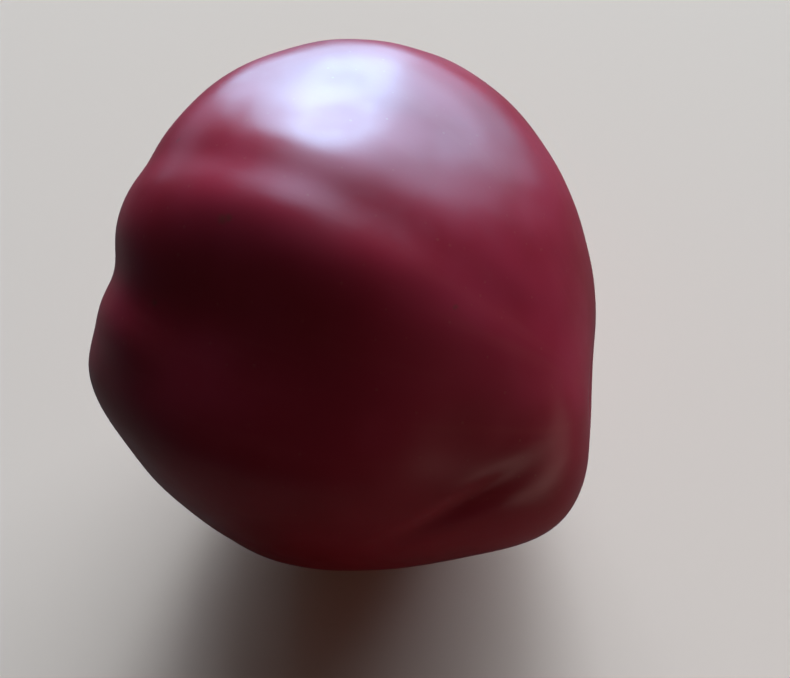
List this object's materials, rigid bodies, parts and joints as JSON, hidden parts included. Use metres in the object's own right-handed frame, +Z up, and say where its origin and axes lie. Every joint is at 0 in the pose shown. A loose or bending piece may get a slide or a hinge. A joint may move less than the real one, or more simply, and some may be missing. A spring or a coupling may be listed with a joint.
{
  "type": "tomato",
  "caption": "Large ripe crimson-pink oxheart tomato with ribbed shoulders and a stem scar, lying on its side on a small flat spot.",
  "frame": {"origin": "centre of the small flat spot that the tomato rests on", "axes": "+Z up; -Y towards the front, as the tomato is looked at; +X to the right, the side that the blossom end points to"},
  "size_m": [0.0907, 0.0984, 0.1008],
  "materials": {
    "skin": "thin waxy tomato skin, deep crimson pink, satin to glossy"
  },
  "bodies": {
    "root": {"tomato": "skin"}
  },
  "joints": []
}
